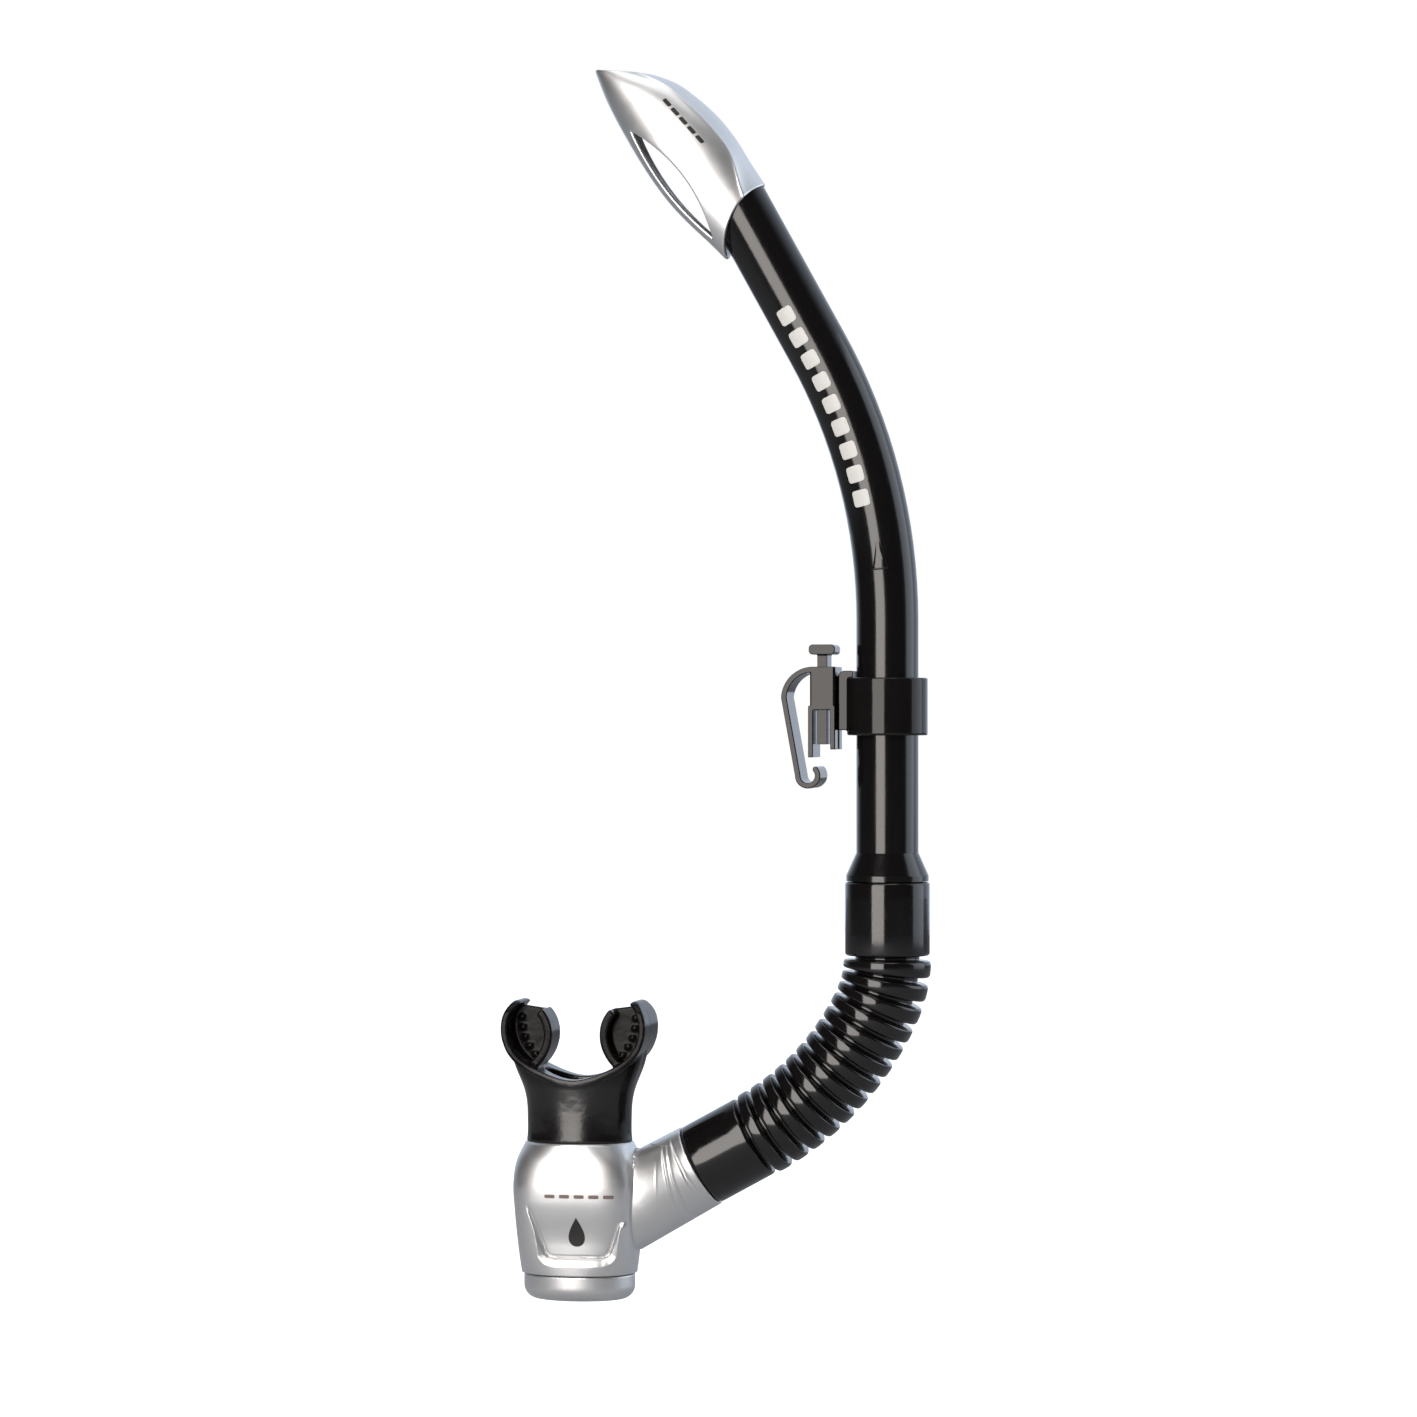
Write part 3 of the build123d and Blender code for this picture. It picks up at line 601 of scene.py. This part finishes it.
def distance_to_line(x, z, points):
    """Distance of each (x, z) from a broken line, the nearest height and the share along it."""
    best = np.full(x.shape, 1e9)
    nearest_z = np.zeros(x.shape)
    share = np.zeros(x.shape)
    spans = list(zip(points, points[1:]))
    for number, ((x0, z0), (x1, z1)) in enumerate(spans):
        step_x, step_z = x1 - x0, z1 - z0
        t = np.clip(((x - x0) * step_x + (z - z0) * step_z) / (step_x**2 + step_z**2), 0, 1)
        distance = np.hypot(x - x0 - t * step_x, z - z0 - t * step_z)
        closer = distance < best
        best = np.where(closer, distance, best)
        nearest_z = np.where(closer, z0 + t * step_z, nearest_z)
        share = np.where(closer, (number + t) / len(spans), share)
    return best, nearest_z, share


def panel_sink(u, z):
    """How far the chamber's face is pressed in at u across and height z."""
    from_middle = np.abs(u - PANEL_SHIFT)
    distance, edge_z, _ = distance_to_line(from_middle, z, PANEL_OUTLINE)
    heights = [point[1] for point in PANEL_OUTLINE[:-1]]
    widths = [point[0] for point in PANEL_OUTLINE[:-1]]
    half_width = np.interp(z, heights[::-1], widths[::-1])
    inside = (from_middle < half_width) & (z > PANEL_OUTLINE[-1][1])
    sunk = PANEL_SINK * smooth_step((PANEL_TOP_Z - z) / PANEL_FADE)
    edge_sunk = PANEL_SINK * smooth_step((PANEL_TOP_Z - edge_z) / PANEL_FADE)
    ledge = 0.6 + 2.6 * np.clip((PANEL_TOP_Z - edge_z) / 19, 0, 1) ** 2.4
    climb = np.clip(1 - distance / ledge, 0, 1)
    crease = PANEL_CREASE_DEPTH * np.exp(-((distance / PANEL_CREASE_WIDTH) ** 2))
    return np.where(inside, sunk, edge_sunk * climb) + crease * smooth_step(edge_sunk / 0.5)


def chamber_face(u, z):
    """Depth of the chamber's front face at u across and height z."""
    width = chamber_width(z)
    squareness = chamber_squareness(z)
    share = np.clip(np.abs(u) / width, 0, 0.999)
    return width * CHAMBER_DEPTH_RATIO * (1 - share**squareness) ** (1 / squareness)


def formed_by(u, y, width, depth, squareness):
    """1 on the chamber's rounded-square section, less inside it and more outside."""
    return ((np.abs(u) / width) ** squareness + (np.abs(y) / depth) ** squareness) ** (1 / squareness)


def shape_chamber(points):
    """Moves the outer surface of the CAD chamber to its finely shaped form."""
    u, y, z = points[:, 0] - CHAMBER_X, points[:, 1], points[:, 2]
    width, squareness = chamber_width(z), chamber_squareness(z)
    depth = width * CHAMBER_DEPTH_RATIO
    cad = np.hypot(u / width, y / depth)
    formed = formed_by(u, y, width, depth, squareness)
    radius = np.hypot(u, y)
    inner = radius / cad - CHAMBER_WALL
    level = (z < CHAMBER_TOP_Z - 0.4) & (z > CHAMBER_BOTTOM_Z + 0.2)
    outer = level & (radius > inner + 0.4)
    on_body = outer & (radius < radius / cad + 1.5)
    on_branch = outer & ~on_body
    end_x, end_z, turned = hose_centre(HOSE_BEND_LENGTH + LOWER_CUFF_LENGTH)
    along = (end_x - points[:, 0]) * sin(turned) + (end_z - z) * cos(turned)
    squashed = 1 - BRANCH_SQUASH * smooth_step(along / BRANCH_SQUASH_LENGTH)
    squash = np.where(on_branch, squashed, 1.0)
    formed = np.where(on_branch, formed_by(u, y * squash, width, depth, squareness), formed)
    grow = np.where(on_body | (on_branch & (formed < 1)), 1 / formed, 1.0)
    shaped = points.copy()
    shaped[:, 0] = CHAMBER_X + u * grow
    shaped[:, 1] = y * squash * grow
    face = on_body & (np.abs(shaped[:, 1]) > 5)
    pressed = panel_sink(shaped[:, 0] - CHAMBER_X, z) * np.sign(y)
    shaped[:, 1] -= np.where(face, pressed, 0)
    return crease_branch(shaped, y, on_body, end_x, end_z, turned)


def crease_branch(shaped, y, on_body, end_x, end_z, turned):
    """Presses the fine creases into the branch, towards its axis."""
    x, z = shaped[:, 0], shaped[:, 2]
    across = (x - end_x) * cos(turned) - (z - end_z) * sin(turned)
    from_axis = np.hypot(across, y)
    groove = np.zeros(len(shaped))
    for line, sink in BRANCH_CREASES:
        distance, _, share = distance_to_line(x, z, line)
        fading = np.clip(4 * share * (1 - share), 0, 1)
        groove += sink * np.exp(-((distance / BRANCH_CREASE_WIDTH) ** 2)) * fading
    groove *= ~on_body & (from_axis > 13.5) & (x > CHAMBER_X + 20)
    shaped[:, 0] -= groove * across / from_axis * cos(turned)
    shaped[:, 1] -= groove * y / from_axis
    shaped[:, 2] += groove * across / from_axis * sin(turned)
    return shaped


def reshape(piece, change):
    """Runs a piece's vertices, in millimetres, through a function."""
    mesh = piece.data
    points = np.empty(len(mesh.vertices) * 3)
    mesh.vertices.foreach_get("co", points)
    points = change(points.reshape(-1, 3) / MM) * MM
    mesh.vertices.foreach_set("co", points.ravel())
    mesh.update()


# ---- printed and raised marks -----------------------------------------------

INK_LIFT = 0.05
MARK_ROOT = -0.1
BARREL_BAR_COUNT = 9
SMALL_BAR_COUNT = 5
STOP_TOP = 27.6
STOP_LENGTH = 9.8


def bar_outline(middle_a, middle_b, length, width, lean=0.0):
    """Outline of a bar with rounded corners, in a surface's own two directions."""
    angles = np.linspace(0, 2 * pi, 32, endpoint=False)
    across = 0.5 * width * np.sign(np.sin(angles)) * np.abs(np.sin(angles)) ** 0.35
    along = 0.5 * length * np.sign(np.cos(angles)) * np.abs(np.cos(angles)) ** 0.35
    return np.stack([middle_a + along, middle_b + across + lean * along], 1)


def drop_outline(middle_a, middle_b, width, height):
    """Outline of a drop with its point up."""
    angles = np.linspace(0, 2 * pi, 40, endpoint=False)
    across = 0.62 * width * np.sin(angles) * np.sin(angles / 2) ** 1.3
    return np.stack([middle_a + across, middle_b + 0.5 * height * np.cos(angles)], 1)


def surface_mark(name, outline, surface, lift):
    """Thin closed patch lying on a surface, whose function takes (a, b, lift)."""
    middle = outline.mean(0)
    crown = lift * 1.1
    underside = [(share, MARK_ROOT) for share in (0, 0.5, 1)]
    upper_side = [(1, lift), (0.96, crown), (0.5, crown), (0, crown)]
    rows = []
    for share, height in underside + upper_side:
        ring = middle + (outline - middle) * share
        rows.append(surface(ring[:, 0], ring[:, 1], height))
    mark = grid_object(name, np.array(rows))
    tidy_mesh(mark, 1e-7)
    return mark


def barrel_surface(distance, around, lift):
    """Point on the barrel: distance up the bend, degrees around from the front towards +X."""
    turned = np.clip(distance / BEND_R, 0, BEND_ANGLE)
    radius = BARREL_R + lift
    across = radius * np.sin(np.radians(around))
    straight = distance - turned * BEND_R
    x = -BEND_R * (1 - np.cos(turned)) + across * np.cos(turned) - straight * np.sin(turned)
    z = STRAIGHT_TOP_Z + (BEND_R + across) * np.sin(turned) + straight * np.cos(turned)
    return np.stack([x, -radius * np.cos(np.radians(around)), z], -1)


def stop_surface(distance, around, lift):
    """The barrel's surface, raised more towards the low end of the stop."""
    slope = np.clip((STOP_TOP - distance) / STOP_LENGTH, 0, 1)
    return barrel_surface(distance, around, np.where(lift > 0, lift * (0.15 + slope), lift))


def hood_surface(s, n, lift):
    """Point on the hood's near side at s along it and n across it."""
    front, back = hood_front(s), hood_back(s)
    middle, half = (front + back) / 2, (back - front) / 2
    angle = np.arccos(np.clip((middle - n) / half, -1, 1))
    return upper_point(s, n, -(hood_depth(s) * np.sin(angle) ** HOOD_FULLNESS + lift))


def chamber_surface(u, z, lift):
    """Point on the chamber's front panel."""
    depth = chamber_face(u, z) - panel_sink(u, z) + lift
    return np.stack([CHAMBER_X + u, -depth, z], -1)


def make_bars():
    """Plain bars where such tubes carry lettering."""
    pale = print_ink("pale_ink", (0.6, 0.6, 0.58))
    dark = print_ink("dark_ink", (0.012, 0.010, 0.009))
    brown = print_ink("brown_ink", (0.16, 0.12, 0.10))
    for number in range(BARREL_BAR_COUNT):
        outline = bar_outline(44.0 + 8.9 * number, -17.0, 6.0, 33.0)
        mark = surface_mark(f"barrel_bar_{number}", outline, barrel_surface, 0.06)
        finish_piece(mark, "barrel", pale)
    for number in range(SMALL_BAR_COUNT):
        share = number / (SMALL_BAR_COUNT - 1)
        outline = bar_outline(101.6 - 17.6 * share, -3.6 + 4.0 * share, 3.4, 1.5, -0.23)
        mark = surface_mark(f"hood_bar_{number}", outline, hood_surface, INK_LIFT)
        finish_piece(mark, "barrel", dark)
        outline = bar_outline(-9.4 + 5.3 * number + PANEL_SHIFT, -174.3, 3.7, 1.3)
        mark = surface_mark(f"chamber_bar_{number}", outline, chamber_surface, INK_LIFT)
        finish_piece(mark, "chamber", brown)
    outline = drop_outline(PANEL_SHIFT, -187.0, 6.6, 10.6)
    drop = surface_mark("chamber_drop", outline, chamber_surface, INK_LIFT)
    finish_piece(drop, "chamber", dark)


def make_stop():
    """Raised wedge on the barrel that stops the keeper."""
    low = STOP_TOP - STOP_LENGTH
    wedge = np.array([(low, -14.0), (low, 14.0), (STOP_TOP, 3.0), (STOP_TOP, -3.0)])
    sides = [
        corner + (following - corner) * share
        for corner, following in zip(wedge, np.roll(wedge, -1, 0))
        for share in (0.02, 0.25, 0.5, 0.75, 0.98)
    ]
    stop = surface_mark("keeper_stop", np.array(sides), stop_surface, 0.9)
    finish_piece(stop, "barrel", gloss_black())


# ---- stage ------------------------------------------------------------------

FLOOR_DROP = 0.02
FLOOR_REACH = 3.0
CAMERA_AZIMUTH = radians(10.5)
CAMERA_DISTANCE = 1.6
VIEW_CENTRE = (-0.0645, 0.0, -0.0009)
VIEW_WIDTH = 0.506
SENSOR = 36.0


def make_floor():
    """Plain pale floor, lit so that the camera sees it as white as the surround."""
    lowest = CAD_BOX[0][2] - FLOOR_DROP
    reach = FLOOR_REACH
    square = ((-reach, -reach), (reach, -reach), (reach, reach), (-reach, reach))
    corners = [(x, y, lowest) for x, y in square]
    mesh = bpy.data.meshes.new("floor")
    mesh.from_pydata(corners, [], [(0, 1, 2, 3)])
    floor = new_object("floor", mesh)
    material, tree, shader = new_material("pale_floor", (0.45, 0.45, 0.45), 0.9)
    shader.inputs["Emission Color"].default_value = (1, 1, 1, 1)
    seen = tree.nodes.new("ShaderNodeLightPath")
    tree.links.new(seen.outputs["Is Camera Ray"], shader.inputs["Emission Strength"])
    tint(tree, shader, noise(tree, 3, 2), (0.44, 0.44, 0.44), (0.46, 0.46, 0.46))
    mesh.materials.append(material)


def make_world():
    """White surround, dark on the camera's side so that gloss black stays black."""
    world = bpy.data.worlds.new("studio")
    bpy.context.scene.world = world
    world.use_nodes = True
    tree = world.node_tree
    background = tree.nodes["Background"]
    direction = tree.nodes.new("ShaderNodeTexCoord")
    split = tree.nodes.new("ShaderNodeSeparateXYZ")
    tree.links.new(direction.outputs["Generated"], split.inputs["Vector"])
    depth_ramp = tree.nodes.new("ShaderNodeMapRange")
    depth_ramp.interpolation_type = "SMOOTHSTEP"
    depth_ramp.inputs["From Min"].default_value = -0.1
    depth_ramp.inputs["From Max"].default_value = 0.75
    lean = tree.nodes.new("ShaderNodeMath")
    lean.operation = "MULTIPLY_ADD"
    lean.inputs[1].default_value = 0.3
    tree.links.new(split.outputs["X"], lean.inputs[0])
    tree.links.new(split.outputs["Y"], lean.inputs[2])
    tree.links.new(lean.outputs["Value"], depth_ramp.inputs["Value"])
    mix = tree.nodes.new("ShaderNodeMix")
    mix.data_type = "RGBA"
    mix.inputs["A"].default_value = (0.02, 0.02, 0.022, 1)
    mix.inputs["B"].default_value = (0.84, 0.94, 1.1, 1)
    tree.links.new(depth_ramp.outputs["Result"], mix.inputs["Factor"])
    seen = tree.nodes.new("ShaderNodeLightPath")
    plain = tree.nodes.new("ShaderNodeMix")
    plain.data_type = "RGBA"
    plain.inputs["B"].default_value = (1.0, 1.0, 1.0, 1)
    tree.links.new(seen.outputs["Is Camera Ray"], plain.inputs["Factor"])
    tree.links.new(mix.outputs["Result"], plain.inputs["A"])
    tree.links.new(plain.outputs["Result"], background.inputs["Color"])


def area_light(name, place, target, width, height, power, color=(1, 1, 1)):
    """Soft box at a place, facing a target."""
    light = bpy.data.lights.new(name, "AREA")
    light.shape = "RECTANGLE"
    light.size = width
    light.size_y = height
    light.energy = power
    light.color = color
    lamp = bpy.data.objects.new(name, light)
    bpy.context.collection.objects.link(lamp)
    lamp.location = place
    lamp.rotation_euler = (Vector(target) - Vector(place)).to_track_quat("-Z", "Y").to_euler()


def make_lights():
    """A tall warm soft box left of the camera, a dim cool fill right, and one overhead."""
    centre = Vector(VIEW_CENTRE)

    def round_about(azimuth, distance, height):
        angle = radians(azimuth) + CAMERA_AZIMUTH
        return centre + Vector((distance * sin(angle), -distance * cos(angle), height))

    area_light("key", round_about(-26, 1.3, 0.1), centre, 0.8, 1.8, 30, (1.0, 0.95, 0.91))
    area_light("fill", round_about(92, 1.5, 0.1), centre, 1.1, 2.0, 10, (0.85, 0.92, 1.0))
    area_light("top", centre + Vector((0, -0.3, 1.5)), centre, 1.2, 1.0, 8)


def make_camera():
    """Camera a little to the right of the front, level with the object's middle."""
    camera = bpy.data.cameras.new("camera")
    camera.sensor_width = SENSOR
    camera.lens = SENSOR * CAMERA_DISTANCE / VIEW_WIDTH
    holder = bpy.data.objects.new("camera", camera)
    bpy.context.collection.objects.link(holder)
    centre = Vector(VIEW_CENTRE)
    away = Vector((sin(CAMERA_AZIMUTH), -cos(CAMERA_AZIMUTH), 0))
    holder.location = centre + away * CAMERA_DISTANCE
    holder.rotation_euler = (-away).to_track_quat("-Z", "Y").to_euler()
    bpy.context.scene.camera = holder
    bpy.context.scene.view_settings.view_transform = "Standard"


# ---- build ------------------------------------------------------------------


def paint_kept_nodes():
    """Gives the CAD nodes that are shown as they are their materials."""
    grey = grey_plastic()
    paints = {
        "barrel": gloss_black(),
        "keeper_liner": grey,
        "valve_seat": grey,
        "purge_valve": valve_silicone(),
    }
    for node, material in paints.items():
        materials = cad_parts[node].data.materials
        materials.clear()
        materials.append(material)


def main():
    """Builds every piece, then the stage round them."""
    silver = silver_paint()
    mouth = mouth_silicone()
    keeper = keeper_plastic()
    paint_kept_nodes()
    make_hose()
    make_hood(silver)
    chamber = softened("chamber_body", "chamber_shell", 0.33, 5)
    reshape(chamber, shape_chamber)
    finish_piece(chamber, "chamber", silver)
    pieces = (
        ("purge_cover", "purge_cap", 0.3, 4, "chamber", "silver", silver),
        ("mouthpiece", "mouth_grip", 0.35, 14, "chamber", "mouth_silicone", mouth),
        ("keeper_collar", "keeper_ring", 0.3, 3, "keeper_collar", "keeper_plastic", keeper),
        ("keeper_hook", "strap_hook", 0.2, 5, "keeper_hook", "keeper_plastic", keeper),
        ("release_plunger", "release_pin", 0.2, 5, "release_plunger", "keeper_plastic", keeper),
    )
    for node, name, voxel, rounds, body, slot, material in pieces:
        finish_piece(softened(node, name, voxel, rounds), body, material)
    make_bars()
    make_stop()
    make_floor()
    make_world()
    make_lights()
    make_camera()


main()
bpy.context.view_layer.update()
